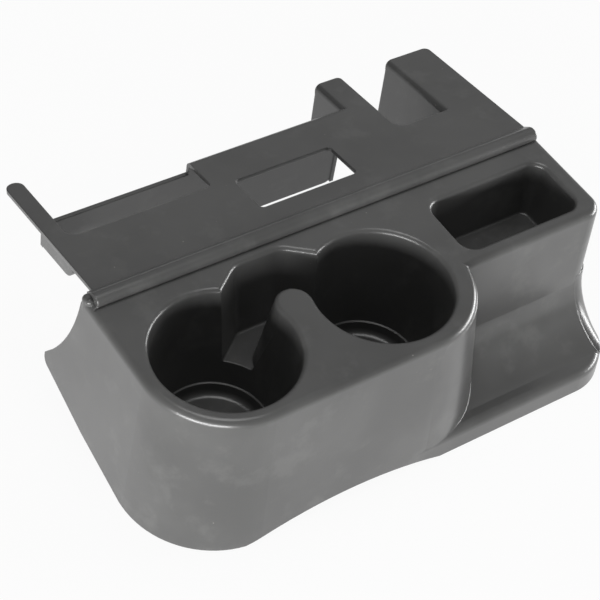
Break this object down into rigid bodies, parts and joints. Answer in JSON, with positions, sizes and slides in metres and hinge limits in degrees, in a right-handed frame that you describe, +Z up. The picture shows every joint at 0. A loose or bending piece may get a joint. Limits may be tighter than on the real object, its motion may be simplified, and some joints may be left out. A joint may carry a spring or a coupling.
{
  "type": "car cup holder",
  "caption": "Moulded console cup holder with tapered cups joined by a mug-handle pocket, a coin bin above a scooped foot, and a sloping flange that hooks over a centre console.",
  "frame": {"origin": "on the underside of the sloping flange, where it lies on the console, in the middle of the width and 20 mm behind the groove at the flange's front", "axes": "+X across the car toward the coin bin, +Y back along the flange, +Z up; the tray's top is level and the flange slopes down toward the back"},
  "size_m": [0.318, 0.2241, 0.1092],
  "materials": {
    "black_plastic": "fine satin moulded grain"
  },
  "bodies": {
    "root": {"cup_holder": "black_plastic"}
  },
  "joints": []
}
